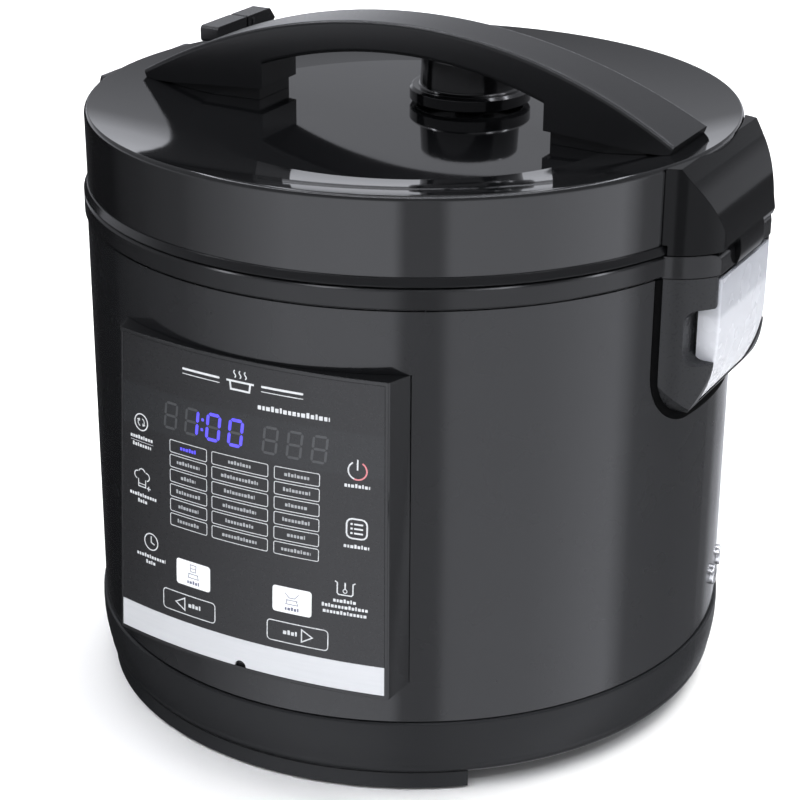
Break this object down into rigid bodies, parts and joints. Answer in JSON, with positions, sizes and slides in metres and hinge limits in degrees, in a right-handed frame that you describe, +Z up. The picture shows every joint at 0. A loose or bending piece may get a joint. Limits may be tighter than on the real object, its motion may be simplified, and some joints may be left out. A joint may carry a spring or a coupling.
{
  "type": "electric pressure cooker",
  "caption": "Round electric pressure cooker with a hinged lid, arched carrying handle, turning steam valve, touch control panel, removable pot and a clear condensate cup.",
  "frame": {"origin": "middle of the machine's bounding box, on the surface that it stands on", "axes": "+Z up, the control panel faces -Y, the lid's hinge and the condensate cup are at +X"},
  "size_m": [0.2982, 0.2884, 0.2891],
  "materials": {
    "gloss_black": "piano-black high gloss",
    "satin_black": "fine satin moulded plastic",
    "panel_film": "smooth printed film",
    "silver_strip": "bright silver-white",
    "clear_plastic": "translucent milky clear",
    "rubber_black": "matt rubber",
    "silicone": "translucent white silicone",
    "steel": "brushed",
    "screw_steel": "bright zinc",
    "plate_metal": "satin",
    "pot_coating": "non-stick coating",
    "cast_metal": "cast",
    "element": "oxide-dark metal sheath",
    "contact_brass": "plated",
    "valve_metal": "turned",
    "nut_plastic": "moulded",
    "circuit_board": "solder mask",
    "board_parts": "component cases",
    "wire": "insulation"
  },
  "bodies": {
    "housing": {"base_pan": "satin_black", "foot_pads": "rubber_black", "load_cells": "steel", "base_screws": "screw_steel", "outer_shell": "gloss_black", "top_collar": "gloss_black", "inner_chamber": "steel", "inner_pot": "pot_coating", "heater_plate": "cast_metal", "heating_element": "element", "heater_standoffs": "screw_steel", "sensor_guide": "nut_plastic", "sensor_spring": "steel", "thermal_fuse": "contact_brass", "power_board": "circuit_board", "power_board_parts": "board_parts", "power_inlet": "satin_black", "inlet_pins": "contact_brass", "mains_wires": "wire", "shell_screws": "screw_steel", "panel_housing": "satin_black", "panel_overlay": "panel_film", "panel_strip": "silver_strip", "control_board": "circuit_board", "display_module": "board_parts", "buzzer": "board_parts", "ribbon_cable": "wire", "hinge_bracket": "satin_black", "hinge_pin": "steel", "hinge_spring": "steel", "latch_catch": "steel"},
    "lid": {"lid_cover": "gloss_black", "lid_lower_ring": "gloss_black", "hinge_cover": "gloss_black", "hinge_arm": "steel", "latch_cover": "gloss_black", "handle_grip": "satin_black", "handle_feet": "satin_black", "handle_screws": "screw_steel", "inner_lid_plate": "plate_metal", "sealing_ring": "silicone", "inner_lid_nut": "nut_plastic", "valve_body": "valve_metal", "lid_screws": "screw_steel", "lever_bracket": "satin_black", "lever_pin": "steel"},
    "valve_knob": {"valve_knob": "satin_black"},
    "float_valve": {"float_valve": "valve_metal"},
    "lever": {"release_lever": "satin_black", "lever_key": "satin_black"},
    "latch": {"latch_hook": "nut_plastic"},
    "cup": {"condensate_cup": "clear_plastic"},
    "sensor": {"temperature_sensor": "plate_metal"}
  },
  "joints": [
    {"name": "lid_hinge", "type": "hinge", "parent": "housing", "child": "lid", "pos_m": [0.143, 0.0028, 0.2165], "axis": [0, 1, 0], "range_deg": [0, 85]},
    {"name": "valve_turn", "type": "hinge", "parent": "lid", "child": "valve_knob", "pos_m": [0.0067, 0.0336, 0.25], "axis": [0, 0, 1], "range_deg": [0, 30]},
    {"name": "float_rise", "type": "slide", "parent": "lid", "child": "float_valve", "axis": [0, 0, 1], "range_m": [0, 0.0025]},
    {"name": "lever_press", "type": "hinge", "parent": "lid", "child": "lever", "pos_m": [-0.1193, 0.0378, 0.26088], "axis": [-1, 0, 0], "range_deg": [0, 8], "stiffness_Nm_per_rad": 0.2, "springref_deg": -5.73},
    {"name": "latch_slide", "type": "slide", "parent": "lid", "child": "latch", "axis": [-1, 0, 0], "range_m": [0, 0.003]},
    {"name": "cup_pull", "type": "slide", "parent": "housing", "child": "cup", "axis": [1, 0, 0], "range_m": [0, 0.03]},
    {"name": "sensor_press", "type": "slide", "parent": "housing", "child": "sensor", "axis": [0, 0, -1], "range_m": [0, 0.0015], "stiffness_N_per_m": 800, "springref_m": -0.004, "deforming": ["sensor_spring"]}
  ],
  "couplings": [
    {"joint": "latch_slide", "follows": "lever_press", "m_per_rad": 0.021486}
  ]
}
